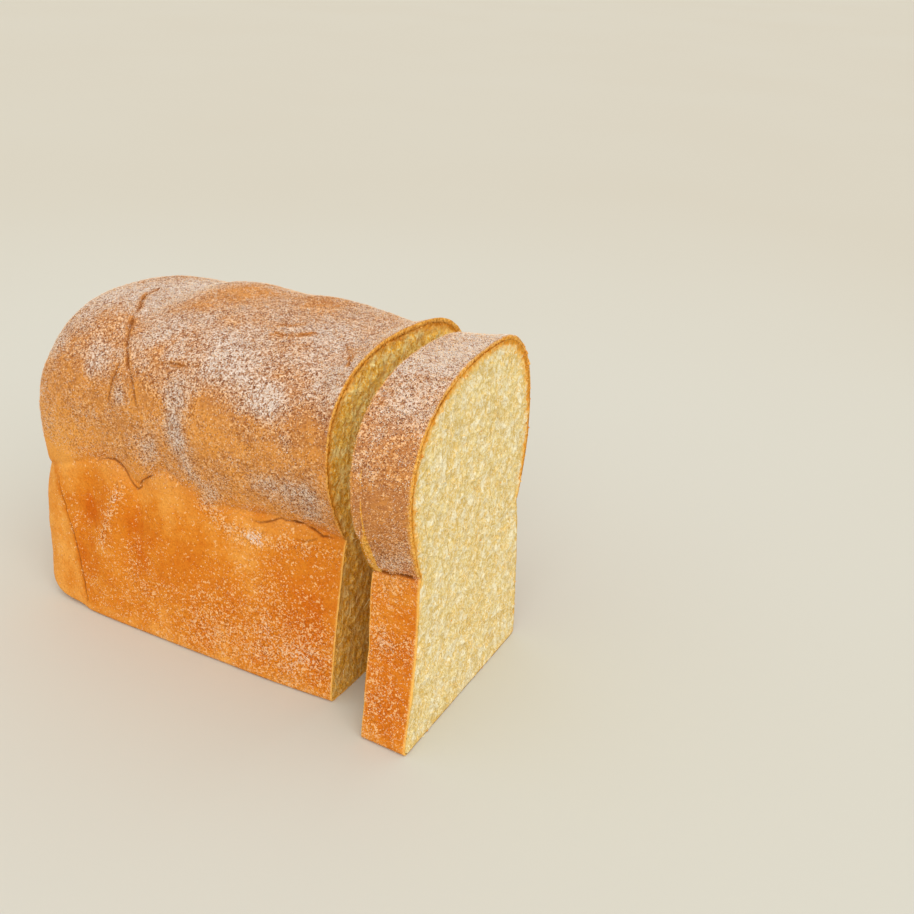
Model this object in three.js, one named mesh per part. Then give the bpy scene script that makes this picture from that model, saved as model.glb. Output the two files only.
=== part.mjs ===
// A tin loaf of soft yellow bread, cut square at one end, and a slice of it standing just in front of the cut.
// X runs along the loaf towards the cut, Y across it, with the near side at -Y, and Z up from the table.
// All lengths are millimetres and the origin is at the middle of the bottom of the whole.
import * as THREE from "three";
import { mergeVertices } from "three/addons/utils/BufferGeometryUtils.js";

// The cross-section: a boxy lower part from the tin, a break all round, and a wider dome that rose over it.
const WALL_HEIGHT = 70;
const BASE_ROUND = 3;
const SOLE = 0.8; // what the flat underside takes off the rounded form
const WALL_BOW = 0.8; // how far the loaf's walls swell
const BREAK_DEPTH = 2;
const LIP = 1.8;
const FAR_DOME_ROUND = 2.65; // exponent of the superellipse over the bulge

// The loaf along its length. Each list of sizes goes with the list of places.
const PLACES = [-106, -96, -86, -70, -54, -28, -13, 0];
const CROWN_HEIGHT = along([133.7, 136.1, 137.3, 137.6, 138, 137, 135.9, 141.4]);
const NEAR_BASE = along([54.2, 54, 53.8, 53.5, 53, 52.3, 51.2, 50.1]);
const NEAR_WAIST = along([49, 48.8, 48.6, 48.2, 47.5, 45, 42.9, 41]);
const NEAR_BULGE = along([52, 52.4, 52.7, 53, 53.3, 53.1, 52.9, 53]);
const NEAR_DOME_ROUND = along([2.25, 2.25, 2.25, 2.25, 2.25, 2.28, 2.35, 2.45]);
const FAR_BASE = along([50, 50, 50, 50, 49.8, 49, 48, 47.2]);
const FAR_WAIST = along([45, 45, 45, 45, 44.6, 43.8, 42.4, 40.3]);
const FAR_BULGE = along([47.7, 48.2, 48.6, 49, 49.4, 49.7, 49.5, 49]);
const NEAR_BULGE_HEIGHT = 105;
const FAR_BULGE_HEIGHT = 100;
const CROWN_SHIFT = -1;

// The height of the break on the near side. It falls away at the end's corner, arches over a tongue of dough,
// drops into a notch beside it and then runs nearly level to the cut.
const BREAK_PLACES = [-150, -133, -119, -108, -99, -95, -90.5, -81, -70, -58, -40, -20, 0];
const BREAK_HEIGHTS = [59, 66.5, 72.5, 76, 71, 66, 71.5, 77.3, 74, 70.3, 70.8, 72, 68.5];
const nearBreak = curveThrough(BREAK_PLACES, BREAK_HEIGHTS);

// The rounded end: how far it goes on past the first place, and how boxy its corner is, at each height.
const LOAF_START = PLACES[0];
const HEIGHTS = [0, 14, 34, 58, 71, 90, 118, 141];
const END_REACH = upward([56, 53, 54.4, 54.5, 53.8, 54.9, 56.7, 62]);
const END_ROUND = upward([4.7, 4.6, 4.5, 4.5, 4.6, 4.4, 2.85, 3.5]);
const END_OPENING = 0.4; // how open the break still is on the end itself

// The slice in front of the cut. Its two cuts lean back towards the loaf as they rise.
const GAP = 19.9;
const SLICE_THICKNESS = 19.2;
const SLICE_SHIFT = -13.4; // towards the near side
const SLICE_TURN = THREE.MathUtils.degToRad(2.2);
const SLICE_LEAN = Math.tan(THREE.MathUtils.degToRad(1.2));

// Relief of the near wall: the tongue's middle at the break and its lean, and the corner seam at the table.
const TONGUE_TOP = -104.5;
const TONGUE_LEAN = 0.2;
const SEAM_FOOT = -124.2;
const SEAM_CURVE = 0.0056;

// How finely each stretch of the cross-section and of the length is divided.
const STEPS = { base: 5, round: 3, wall: 8, under: 8, over: 12 };
const BODY_RINGS = 40;
const END_RINGS = 26;
const SLICE_RINGS = 8;

// A smooth curve through a short list of sizes at the given places.
function curveThrough(places, sizes) {
  const curve = new THREE.CubicInterpolant(places, sizes, 1);
  return (place) => curve.evaluate(place)[0];
}

function along(sizes) {
  return curveThrough(PLACES, sizes);
}

function upward(sizes) {
  return curveThrough(HEIGHTS, sizes);
}

const clamp01 = (t) => Math.min(1, Math.max(0, t));
const ease = (t) => clamp01(t) ** 2 * (3 - 2 * clamp01(t));
const mix = (a, b, t) => a + (b - a) * t;
const bump = (distance, width) => Math.exp(-((distance / width) ** 2));

// The far side broke more evenly.
function farBreak(x) {
  const wave = 1.8 * Math.sin(x / 17) + 0.9 * Math.sin(x / 6.1 + 1);
  const corner = -8 * ease((-x - 121) / 34);
  return WALL_HEIGHT - 1 + wave + corner;
}

// How open the break is on the near side. Over the long dip the dome runs smoothly into the wall.
function nearOpening(x) {
  return 1 - 0.85 * ease((-x - 44) / 10) * ease((x + 80) / 10);
}

// The sizes of the loaf's own cross-section at x.
function loafSection(x) {
  return {
    near: {
      base: NEAR_BASE(x),
      waist: NEAR_WAIST(x),
      bulge: NEAR_BULGE(x),
      bulgeHeight: NEAR_BULGE_HEIGHT,
      round: NEAR_DOME_ROUND(x),
      bow: WALL_BOW,
      opening: nearOpening(x),
    },
    far: {
      base: FAR_BASE(x),
      waist: FAR_WAIST(x),
      bulge: FAR_BULGE(x),
      bulgeHeight: FAR_BULGE_HEIGHT,
      round: FAR_DOME_ROUND,
      bow: WALL_BOW,
      opening: 0.8,
    },
    crown: { y: CROWN_SHIFT, z: CROWN_HEIGHT(x) },
  };
}

// The slice's cross-section at its back cut and at its front cut.
const SLICE_BACK = {
  near: { base: 48.4, waist: 40.6, bulge: 54.1, bulgeHeight: 107, round: 2.35, bow: -1.5, opening: 1 },
  far: { base: 47, waist: 40.3, bulge: 49, bulgeHeight: 100, round: 2.65, bow: 0.8, opening: 0.8 },
  crown: { y: -1.5, z: 142.9 },
};
const SLICE_FRONT = {
  near: { base: 49.6, waist: 39.8, bulge: 46.6, bulgeHeight: 103, round: 2.3, bow: -2.5, opening: 1 },
  far: { base: 46.8, waist: 43, bulge: 50.2, bulgeHeight: 99, round: 2.7, bow: 0.8, opening: 0.8 },
  crown: { y: 13, z: 142.9 },
};

// Half an outline, from the middle of the underside up to the crown, as points with y measured outwards.
// Each point says how deep it sinks into the break.
function halfOutline(side, crown, breakHeight, direction) {
  const points = [];
  const add = (y, z, sink = 0) => points.push({ y: y * direction, z, sink });
  for (let i = 0; i < STEPS.base; i++) {
    add(((side.base - BASE_ROUND) * i) / STEPS.base, -SOLE);
  }
  for (let i = 0; i < STEPS.round; i++) {
    const turn = (Math.PI / 2) * (i / STEPS.round);
    const y = side.base - BASE_ROUND * (1 - Math.sin(turn));
    add(y, -SOLE + BASE_ROUND * (1 - Math.cos(turn)));
  }
  const foot = BASE_ROUND - SOLE;
  for (let i = 0; i <= STEPS.wall; i++) {
    const t = i / STEPS.wall;
    const bow = side.bow * Math.sin(Math.PI * t);
    add(mix(side.base, side.waist, t) + bow, mix(foot, breakHeight - LIP, t));
  }
  add(side.waist + 0.3, breakHeight, BREAK_DEPTH * side.opening);
  for (let i = 0; i < STEPS.under; i++) {
    const t = i / STEPS.under;
    const out = Math.sin((Math.PI / 2) * mix(0.05, 1, t));
    add(mix(side.waist, side.bulge, out), mix(breakHeight + LIP, side.bulgeHeight, t));
  }
  for (let i = 0; i < STEPS.over; i++) {
    const turn = (Math.PI / 2) * (i / STEPS.over);
    const across = Math.cos(turn) ** (2 / side.round);
    const up = Math.sin(turn) ** (2 / side.round);
    add(mix(crown.y * direction, side.bulge, across), mix(side.bulgeHeight, crown.z, up));
  }
  return points;
}

// A whole outline: up the near side, over the crown and down the far side.
function outline(section, nearBreakHeight, farBreakHeight) {
  const near = halfOutline(section.near, section.crown, nearBreakHeight, -1);
  const far = halfOutline(section.far, section.crown, farBreakHeight, 1);
  const crown = { y: section.crown.y, z: section.crown.z, sink: 0 };
  return [...near, crown, ...far.slice(1).reverse()];
}

// Low swells of the dome, and on the near wall the tongue with a hollow on each side of it.
function swell(x, y, z) {
  const dome = ease((z - WALL_HEIGHT) / 30);
  const waves = 0.3 * Math.sin(x / 11 + y / 19 + Math.PI) + 0.25 * Math.sin(x / 6.3 - y / 13 - 1.1);
  const wall = ease((WALL_HEIGHT + 2 - z) / 8) * ease((z - 8) / 30) * (y < 0 ? 1 : 0);
  const off = x - TONGUE_TOP + TONGUE_LEAN * (WALL_HEIGHT - z);
  const tongue = 1.8 * bump(off, 7) - 1.3 * bump(off + 13, 5.5) - 1.2 * bump(off - 12.5, 5);
  return dome * waves + wall * tongue;
}

// The seam down the near corner: the side wall laps over the end, which is lower beyond it.
function seamDrop(x, y, z) {
  const seam = SEAM_FOOT - SEAM_CURVE * z ** 2;
  const beyond = ease((seam - x) / 4.5) * ease((x - seam + 24) / 18);
  const height = ease((WALL_HEIGHT - 6 - z) / 8);
  return y < -25 ? 1.2 * beyond * height : 0;
}

// A point pushed out from the loaf's long middle by the swells, less what it sinks into the break and the seam.
function relieved(x, y, z, sink, scale) {
  const out = (swell(x, y, z) - seamDrop(x, y, z) - sink) * scale;
  const length = Math.hypot(y, z - WALL_HEIGHT) || 1;
  return new THREE.Vector3(
    x,
    y + (out * y) / length,
    Math.max(0, z + (out * (z - WALL_HEIGHT)) / length),
  );
}

// The superellipse that rounds the loaf's end: how far along and how far out at each step.
function roundedEnd(t, exponent) {
  const corner = 0.5 ** (1 / exponent);
  const rest = (value) => (1 - value ** exponent) ** (1 / exponent);
  if (t < 0.5) {
    const along = 2 * t * corner;
    return { along, across: rest(along) };
  }
  const across = 2 * (1 - t) * corner;
  return { along: rest(across), across };
}

// The loaf's rings, from the smallest on its rounded end to the cut.
function loafRings() {
  const rings = [];
  const startOutline = outline(loafSection(LOAF_START), WALL_HEIGHT, WALL_HEIGHT);
  for (let i = END_RINGS - 1; i > 0; i--) {
    const endPoint = (p) => {
      const { along: reached, across } = roundedEnd(i / END_RINGS, END_ROUND(p.z));
      const y = p.y * across;
      const z = mix(WALL_HEIGHT, p.z, across);
      const sink = p.sink * mix(1, END_OPENING, reached);
      const x = LOAF_START - reached * (END_REACH(z) - sink);
      const breakHeight = y < 0 ? nearBreak(x) : farBreak(x);
      const shift = (breakHeight - WALL_HEIGHT) * ease(Math.abs(y) / 24) * bump(z - WALL_HEIGHT, 18);
      return relieved(x, y, z + shift, sink * across, across);
    };
    rings.push(startOutline.map(endPoint));
  }
  for (let i = 0; i <= BODY_RINGS; i++) {
    const x = mix(LOAF_START, 0, i / BODY_RINGS);
    const points = outline(loafSection(x), nearBreak(x), farBreak(x));
    rings.push(points.map((p) => relieved(x, p.y, p.z, p.sink, 1)));
  }
  return rings;
}

function mixSides(a, b, t) {
  return Object.fromEntries(Object.keys(a).map((size) => [size, mix(a[size], b[size], t)]));
}

// The slice's rings, from its back cut to its front cut.
function sliceRings() {
  const rings = [];
  for (let i = 0; i <= SLICE_RINGS; i++) {
    const t = i / SLICE_RINGS;
    const section = {
      near: mixSides(SLICE_BACK.near, SLICE_FRONT.near, t),
      far: mixSides(SLICE_BACK.far, SLICE_FRONT.far, t),
      crown: mixSides(SLICE_BACK.crown, SLICE_FRONT.crown, t),
    };
    const points = outline(section, WALL_HEIGHT + mix(-0.5, 1.5, t), WALL_HEIGHT - 3 * t);
    rings.push(
      points.map((p) => {
        const point = relieved(SLICE_THICKNESS * t, p.y, p.z, p.sink, 1);
        point.x -= SLICE_LEAN * point.z;
        return point;
      }),
    );
  }
  return rings;
}

// A closed mesh through rings of points, with a fan to a middle point over each end.
function loft(rings, firstMiddle, lastMiddle) {
  const count = rings[0].length;
  const last = rings.length - 1;
  const corners = [];
  for (let k = 0; k < count; k++) {
    const next = (k + 1) % count;
    for (let r = 0; r < last; r++) {
      corners.push(rings[r][k], rings[r + 1][k], rings[r + 1][next]);
      corners.push(rings[r][k], rings[r + 1][next], rings[r][next]);
    }
    corners.push(firstMiddle, rings[0][k], rings[0][next]);
    corners.push(lastMiddle, rings[last][next], rings[last][k]);
  }
  return mergeVertices(new THREE.BufferGeometry().setFromPoints(corners), 1e-4);
}

function bread(name, geometry, colour) {
  geometry.computeVertexNormals();
  const material = new THREE.MeshStandardMaterial({ color: colour, roughness: 0.85, metalness: 0 });
  const mesh = new THREE.Mesh(geometry, material);
  mesh.name = name;
  return mesh;
}

function makeLoaf() {
  const endMiddle = new THREE.Vector3(LOAF_START - END_REACH(WALL_HEIGHT), 0, WALL_HEIGHT);
  const cutMiddle = new THREE.Vector3(0, 0, WALL_HEIGHT);
  return bread("loaf", loft(loafRings(), endMiddle, cutMiddle), "#c98a4b");
}

function makeSlice() {
  const backMiddle = new THREE.Vector3(-SLICE_LEAN * WALL_HEIGHT, 0, WALL_HEIGHT);
  const frontMiddle = backMiddle.clone();
  frontMiddle.x += SLICE_THICKNESS;
  const slice = bread("slice", loft(sliceRings(), backMiddle, frontMiddle), "#e7dba2");
  slice.position.set(GAP, SLICE_SHIFT, 0);
  slice.rotation.z = SLICE_TURN;
  return slice;
}

const whole = new THREE.Group();
whole.add(makeLoaf(), makeSlice());
const box = new THREE.Box3().setFromObject(whole, true);
const middle = box.getCenter(new THREE.Vector3());
whole.position.set(-middle.x, -middle.y, -box.min.z);

export default whole;
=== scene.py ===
"""Dresses the cut loaf of corn bread and its slice: crust, crumb, dusting, loose crumbs, floor, light and camera."""

import itertools
import math

import bmesh
import bpy
import numpy as np
from mathutils import Matrix, Vector
from mathutils.bvhtree import BVHTree


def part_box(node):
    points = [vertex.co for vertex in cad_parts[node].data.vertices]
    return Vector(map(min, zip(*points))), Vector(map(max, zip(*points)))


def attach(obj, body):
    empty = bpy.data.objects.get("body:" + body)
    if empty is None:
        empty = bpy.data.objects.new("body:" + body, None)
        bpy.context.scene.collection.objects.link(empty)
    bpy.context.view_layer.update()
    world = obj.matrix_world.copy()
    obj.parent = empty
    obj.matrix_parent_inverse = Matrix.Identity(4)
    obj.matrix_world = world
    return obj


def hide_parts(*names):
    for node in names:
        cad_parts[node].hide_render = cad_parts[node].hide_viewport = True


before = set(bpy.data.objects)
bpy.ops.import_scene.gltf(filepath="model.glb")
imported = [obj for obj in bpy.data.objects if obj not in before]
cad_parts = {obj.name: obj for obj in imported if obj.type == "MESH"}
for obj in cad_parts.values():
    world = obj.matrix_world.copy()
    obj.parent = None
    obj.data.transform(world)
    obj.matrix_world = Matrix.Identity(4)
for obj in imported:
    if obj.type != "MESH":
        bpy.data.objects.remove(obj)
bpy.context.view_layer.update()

bpy.ops.object.select_all(action="DESELECT")

# Units and shared values, in metres
MM = 0.001
SEED = 4104
LOAF_LOW, LOAF_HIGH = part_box("loaf")
SLICE_LOW, SLICE_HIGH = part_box("slice")
CUT_X = LOAF_HIGH[0]
MERGE = 0.02 * MM
MANY_EDGES = 20
SHARP_ANGLE = math.radians(50)

# Rim of crust round a cut, and the hollow that the crumb sits in
RIM_HEIGHT = 35 * MM
RIM_SHARES = (0.992, 0.980)
HOLLOW = 3.4 * MM
CRUMB_THICK = 2.4 * MM
BACK_SHARE = 0.96
TUCK = 0.45 * MM
SUNK = 0.08 * MM
LOAF_REACH = 0.8 * MM
BACK_REACH = 0.3 * MM
FRONT_REACH = 2.6 * MM

# Small cracks, as points in millimetres from one end to the other
LONG_CRACK = [
    (-59.7, 13.2, 134), (-60.3, 6, 134), (-60.4, -1.3, 132.8), (-51.9, -15.8, 131.2), (-47.3, -25.5, 127.8),
    (-41.7, -33.5, 123.9), (-36.8, -38.6, 119.6), (-31.9, -42.1, 114.4), (-29.7, -43.5, 108), (-28.3, -43.6, 99.2)]
FAINT_CRACK = [(-40.2, -38.2, 119.5), (-41.5, -40.5, 115.8), (-42.7, -42.6, 109.9), (-45.2, -42.9, 102.3)]
LEVEL_CRACK = [(-22.2, -37.8, 122.7), (-13.5, -36.9, 123.6), (-6.2, -36.3, 124.4), (-1.1, -35.6, 125.3)]
TOP_CRACK = [(11.6, -13.2, 136), (20.7, -13.1, 135.8), (26, -9.4, 136.3), (30.3, -5.6, 136.6)]
HIGH_CRACK = [(10.3, -7.4, 137.1), (16.6, -6.1, 137.2), (21.3, -1.5, 137.6)]
CUT_CRACK = [(41.1, -5, 136), (49.5, -15.1, 135), (56.9, -24.7, 133)]
BREAK_CRACK = [
    (18.3, -37.9, 67.2), (25.4, -37.1, 68.2), (33.2, -34.8, 71.3), (43, -33.1, 71.5), (47, -33.5, 69.9),
    (50.7, -33.6, 68.1), (57.2, -31.8, 68.1)]
UNDER_CRACK = [(41.4, -35.6, 64.4), (45.6, -34.6, 65.8), (49, -33.6, 67.1)]
ARCH_CRACK = [
    (-59.6, -40.1, 70.5), (-56.3, -39.3, 73), (-51.5, -38.9, 75), (-47.3, -38.7, 75.3), (-43.6, -38.9, 73.7),
    (-39, -39.6, 69.4), (-35.9, -39.4, 64.8), (-32.7, -39.5, 69.8), (-29.7, -38.5, 72.6), (-23.9, -38.9, 75.3)]
SEAM_FOOT = -64.9
SEAM_CURVE = 0.0056
SEAM_TOP = 62
SLICE_HOOK = [(78.2, -41.3, 133.6), (78.8, -42.1, 132.8), (80.1, -42.2, 132.3), (82.8, -41.4, 132.3)]
SLICE_WRINKLE = [(85.3, -28.5, 137.8), (87.8, -26, 138.3), (92.6, -24.2, 138.5), (96.1, -20, 138.7)]
SLICE_BREAK = [(78, -43.1, 69), (82.1, -43, 69.1), (85.3, -42.7, 69.2), (87.4, -42.7, 69), (89.2, -41.9, 69.8),
               (90.9, -41.1, 70.6), (93.6, -41.3, 70.1), (95.9, -41.5, 69.7), (97.9, -41.6, 69.4)]

# Where the dusting lies thick (above nought) or is rubbed off (below): x, y, z, reach in mm, amount
DUST_PATCHES = [
    (-74.3, -11.5, 128, 10, 0.3), (-66.3, 2.5, 133, 12, 0.3), (-51.3, 16.5, 133, 14, 0.35), (-47.3, -11.5, 132, 10, 0.25),
    (-76.3, -35.5, 116, 7, 0.1), (-52.3, -40.5, 116, 6, 0.3), (-39.3, -43.5, 107, 5, 0.4), (-81.3, -40.5, 98, 6, 0.1),
    (-28.3, -24.5, 131, 9, 0.3), (1.7, -22.5, 133, 16, 0.2), (13.7, -32.5, 128, 15, 0.18), (5.7, 1.5, 138, 10, 0.15),
    (33.7, -5.5, 137, 15, 0.3), (53.7, -27.5, 131, 12, 0.2), (29.7, -40.5, 120, 7, 0.4), (1.7, -34.5, 126, 6, 0.2),
    (-25.3, -42.1, 86, 7, 0.3), (40.7, -43.5, 109, 6, 0.2), (51.7, -41.5, 92, 7, 0.3), (51.7, -37.5, 80, 9, 0.25),
    (39.7, -40.5, 87, 8, 0.15),
    (-16.3, 18.5, 138, 9, -0.3), (-20.3, 6.5, 138, 7, -0.25), (-24.3, -6.5, 137, 5, -0.25), (-24.3, -35, 126, 4.5, -0.4),
    (29.7, -31.5, 129, 3, -0.3), (-26.3, -43.5, 109, 4, -0.3), (6.7, -42.5, 115, 5, -0.35), (7.7, -44.5, 105, 7, -0.4),
    (16.7, -44.5, 103, 7, -0.3), (9.7, -43.5, 94, 6, -0.4), (12.7, -42.5, 86, 5, -0.3), (16.7, -40.5, 79, 4, -0.15),
    (47.7, -41.5, 116, 6, -0.35), (29.7, -44.5, 101, 7, -0.15), (24.7, -44.5, 111, 5, -0.3), (-68.3, -33.5, 120, 6, -0.15),
    (-66.3, -41.5, 108, 7, -0.25), (-53.3, -43.5, 103, 5, -0.3), (-80.3, -39.5, 76, 14, -0.6), (-62.3, -41.5, 84, 11, -0.4),
    (-45.3, -41.5, 84, 8, -0.4), (-34.3, -43.5, 95, 6, -0.35), (9.7, 22.5, 137, 12, -0.2),
    (-28.3, -44.5, 22, 8, 0.2), (29.7, -41.5, 30, 18, 0.3), (-0.3, -43.5, 20, 15, 0.2), (49.7, -39.5, 20, 14, 0.25),
    (-12.3, -42.5, 42, 12, -0.15), (-57.3, -41.5, 53, 7, -0.3), (-34.3, -40.5, 50, 8, -0.2),
    (38, -40.5, 80, 10, 0.26), (28, -41.5, 86, 5, 0.25), (48, -36, 76, 6, 0.15), (14, -41, 74, 6, 0.16), (22, -42, 82, 8, 0.12),
    (-84, -30, 112, 9, 0.2), (-88, -24, 104, 8, 0.12), (-20, -34, 124, 8, 0.15), (40, -33, 126, 9, 0.12),
    (-60, 45, 100, 14, -0.2), (-15, 56, 92, 16, -0.25), (25, 52, 112, 13, 0.2), (45, 55, 90, 12, -0.2),
    (-35, 46, 118, 12, 0.2), (-70, 20, 118, 12, 0.15), (10, 52, 25, 15, 0.15), (-40, 50, 40, 14, -0.1)]
DRIFT_SHARE = 0.75

# Streaks of the dusting: points in millimetres, then reach and amount
STREAKS = [
    ([(-10.3, -43.5, 113), (-11, -44.5, 100), (-9, -43.5, 91), (-5, -41.5, 80), (3, -40.5, 75)], 6, 0.34),
    ([(-43.4, -42.2, 65.2), (-46.1, -43.5, 57.6), (-50.5, -44.1, 47.7), (-53.9, -44.7, 36)], 3.2, 0.4),
    ([(-35.8, -41.6, 43.7), (-38.3, -42.6, 35.3), (-40.3, -43.7, 26)], 2.6, 0.2),
    ([(-1.3, -39.1, 69.2), (5.1, -39.3, 63.8), (11.7, -39.1, 61.3), (22.3, -38.4, 60.8)], 4.2, 0.34),
    ([(22.3, -38.4, 60.8), (33.4, -37.2, 61.7), (43.9, -35.7, 62.2), (56.7, -33.6, 61.9)], 3.8, 0.26)]
SLICE_DUST_PATCHES = [
    (89.7, -19.5, 140, 22, 0.35), (91.7, 15.5, 140, 25, 0.3), (86.7, -43.5, 128, 9, 0.1), (86, -53.5, 98, 15, -0.24),
    (86.7, -50.5, 62, 6, 0.15), (87.7, -49.5, 40, 8, 0.2), (86.7, -52.5, 20, 7, 0.25), (93.7, -51.5, 26, 8, -0.15),
    (91.7, -46.5, 52, 6, -0.1), (95.7, -52.5, 10, 6, -0.1), (93.7, -51.5, 88, 8, 0.1), (86, -47, 76, 8, 0.22),
    (94, -46, 78, 6, 0.2), (82, -54, 112, 7, 0.15)]

# Where the crust is baked darker (above nought) or paler (below): x, y, z, reach in mm, amount
BAKE_PATCHES = [
    (-61.3, -41.5, 49, 7, 0.34), (-37.3, -41.5, 51, 7, 0.34), (-62.3, -43.5, 27, 8, 0.2), (-34.3, -42.5, 40, 7, 0.2),
    (-8.3, -42.5, 42, 8, 0.14), (-20.3, -43.5, 30, 9, 0.12), (-17.3, -40.5, 67, 9, -0.2), (19.7, -38.5, 60, 16, -0.16),
    (-52.3, -41.5, 70, 5, -0.12), (-47.3, -42.5, 58, 4, -0.1), (47.7, -39.5, 25, 12, 0.08), (4.7, -42.5, 35, 8, 0.05),
    (-81.3, -39.5, 76, 14, -0.65), (-62.3, -41.5, 80, 9, -0.12), (-40.3, -42.5, 92, 10, 0.05), (11.7, -43.5, 92, 10, 0.04),
    (11.7, -43.5, 104, 9, -0.05), (-18.3, 14.5, 138, 12, -0.1), (46, -38.5, 45, 12, 0.13), (44, -39.3, 36, 9, 0.07)]
SLICE_BAKE_PATCHES = [
    (95.3, -45.8, 40, 7, 0.2), (92.6, -50.5, 14, 7, 0.2), (89.7, -45.5, 62, 7, -0.1), (85.7, -55.5, 100, 14, 0.05),
    (90, -50, 26, 14, 0.12)]



# Reading and setting meshes

def work_on(piece):
    """Makes the piece the only one selected, and the active one."""
    bpy.ops.object.select_all(action="DESELECT")
    piece.select_set(True)
    bpy.context.view_layer.objects.active = piece


def points_of(piece, key="co"):
    """The places, or the normals, of a piece's vertices."""
    flat = np.empty(len(piece.data.vertices) * 3, np.float32)
    piece.data.vertices.foreach_get(key, flat)
    return flat.reshape(-1, 3).astype(float)


def move_points(piece, points):
    """Puts the piece's vertices at these places."""
    piece.data.vertices.foreach_set("co", points.astype(np.float32).ravel())
    piece.data.update()


def paint(piece, name, values):
    """Keeps one number for each vertex under that name, for the materials."""
    layer = piece.data.attributes.new(name, "FLOAT", "POINT")
    layer.data.foreach_set("value", np.broadcast_to(values, len(piece.data.vertices)).astype(np.float32))


def painted(piece, name):
    """The numbers kept under that name."""
    values = np.empty(len(piece.data.vertices), np.float32)
    piece.data.attributes[name].data.foreach_get("value", values)
    return values.astype(float)


def select(piece, mask):
    """Selects the masked vertices, with the edges and faces between them, and stays in edit mode."""
    bpy.ops.object.mode_set(mode="OBJECT")
    for parts in (piece.data.polygons, piece.data.edges):
        parts.foreach_set("select", np.zeros(len(parts), bool))
    piece.data.vertices.foreach_set("select", mask)
    bpy.ops.object.mode_set(mode="EDIT")
    bpy.ops.mesh.select_mode(type="VERT")


def edges_of(piece):
    """The two vertex numbers of each edge."""
    flat = np.empty(len(piece.data.edges) * 2, np.int32)
    piece.data.edges.foreach_get("vertices", flat)
    return flat.reshape(-1, 2)


def open_loops(piece):
    """Each open edge of the piece as vertex numbers in order."""
    mesh = bmesh.new()
    mesh.from_mesh(piece.data)
    left = {edge for edge in mesh.edges if edge.is_boundary}
    loops = []
    while left:
        edge = left.pop()
        loop = [edge.verts[0], edge.verts[1]]
        while True:
            following = [e for e in loop[-1].link_edges if e in left]
            if not following:
                break
            left.remove(following[0])
            loop.append(following[0].other_vert(loop[-1]))
        loops.append([vert.index for vert in loop[:-1]])
    mesh.free()
    return loops


# Smooth functions of place

def ease(value):
    """From 0 to 1, level at both ends."""
    value = np.clip(value, 0, 1)
    return value * value * (3 - 2 * value)


HASH = np.random.default_rng(SEED).permutation(256)


def noise(points, size, salt=0):
    """Smooth noise from -1 to 1 with bumps about that size across."""
    scaled = points / size + salt * 17.31
    cell = np.floor(scaled).astype(int)
    part = ease(scaled - cell)
    total = np.zeros(len(points))
    for corner in itertools.product((0, 1), repeat=3):
        near = (cell + corner) & 255
        value = HASH[(HASH[(HASH[near[:, 0]] + near[:, 1]) & 255] + near[:, 2]) & 255]
        total += value * np.prod(np.where(corner, part, 1 - part), axis=1)
    return total / 127.5 - 1


def patches(points, rows):
    """Sum of soft round patches, each a place, a reach and an amount."""
    total = np.zeros(len(points))
    for x, y, z, reach, amount in rows:
        away = np.sum((points / MM - (x, y, z)) ** 2, axis=1)
        total += amount * np.exp(-away / reach**2)
    return total


def streaks(points, rows):
    """Sum of soft streaks, each along a row of points, with a reach and an amount."""
    total = np.zeros(len(points))
    for path, reach, amount in rows:
        best = np.full(len(points), 1e9)
        for first, last in zip(np.array(path), np.array(path[1:])):
            run = last - first
            share = np.clip((points / MM - first) @ run / (run @ run), 0, 1)
            away = points / MM - first - share[:, None] * run
            best = np.minimum(best, np.sum(away**2, axis=1))
        total += amount * np.exp(-best / reach**2)
    return total


# Paths on a surface

def lay_path(piece, points, wobble=0.5 * MM, step=0.5 * MM):
    """An even path through given points, laid on the piece's surface."""
    points = np.array(points, float) * MM
    along = np.concatenate(([0], np.cumsum(np.linalg.norm(np.diff(points, axis=0), axis=1))))
    places = np.arange(0, along[-1], step)
    line = np.column_stack([np.interp(places, along, points[:, axis]) for axis in range(3)])
    line += wobble * np.column_stack([noise(line, 4 * MM, salt) for salt in (1, 2, 3)])
    line += 0.4 * wobble * np.column_stack([noise(line, 1.5 * MM, salt) for salt in (4, 5, 6)])
    return np.array([piece.closest_point_on_mesh(place)[1] for place in line])


def off_path(points, path):
    """For each point near the path: its number, distance, share of the way along, and offset from the path."""
    margin = 9 * MM
    near = np.all((points > path.min(0) - margin) & (points < path.max(0) + margin), axis=1)
    numbers = np.flatnonzero(near)
    away = np.linalg.norm(points[numbers, None] - path[None], axis=2)
    best = away.argmin(axis=1)
    offset = points[numbers] - path[best]
    return numbers, away.min(axis=1), best / (len(path) - 1), offset, best


def crack_relief(points, normals, path, depth, width, lip):
    """How far a crack moves each vertex along its normal, how much painted shade darkens it there, and how bare its
    margin.
    """
    relief, shade, bare = np.zeros((3, len(points)))
    numbers, away, share, offset, best = off_path(points, path)
    taper = ease(share / 0.15) * ease((1 - share) / 0.15)
    tangent = np.gradient(path, axis=0)[best]
    side = np.sign(np.sum(np.cross(tangent, normals[numbers]) * offset, axis=1))
    rough = np.clip(0.62 + 0.62 * noise(points[numbers], 3.5 * MM, 5), 0.12, 1)
    groove = np.exp(-(away / (width * (0.7 + 0.3 * rough))) ** 2)
    raised = np.exp(-((away - 1.7 * width) / (1.6 * width)) ** 2) * (0.6 + 0.4 * side)
    relief[numbers] = taper * rough * (lip * raised - depth * groove)
    shade[numbers] = np.minimum(1.7 * taper * (0.3 + 0.7 * rough) * np.exp(-(away / (0.85 * width)) ** 2), 1)
    bare[numbers] = taper * rough * np.exp(-(away / (2.4 * width)) ** 2)
    return relief, shade, bare


# Crust

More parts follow.
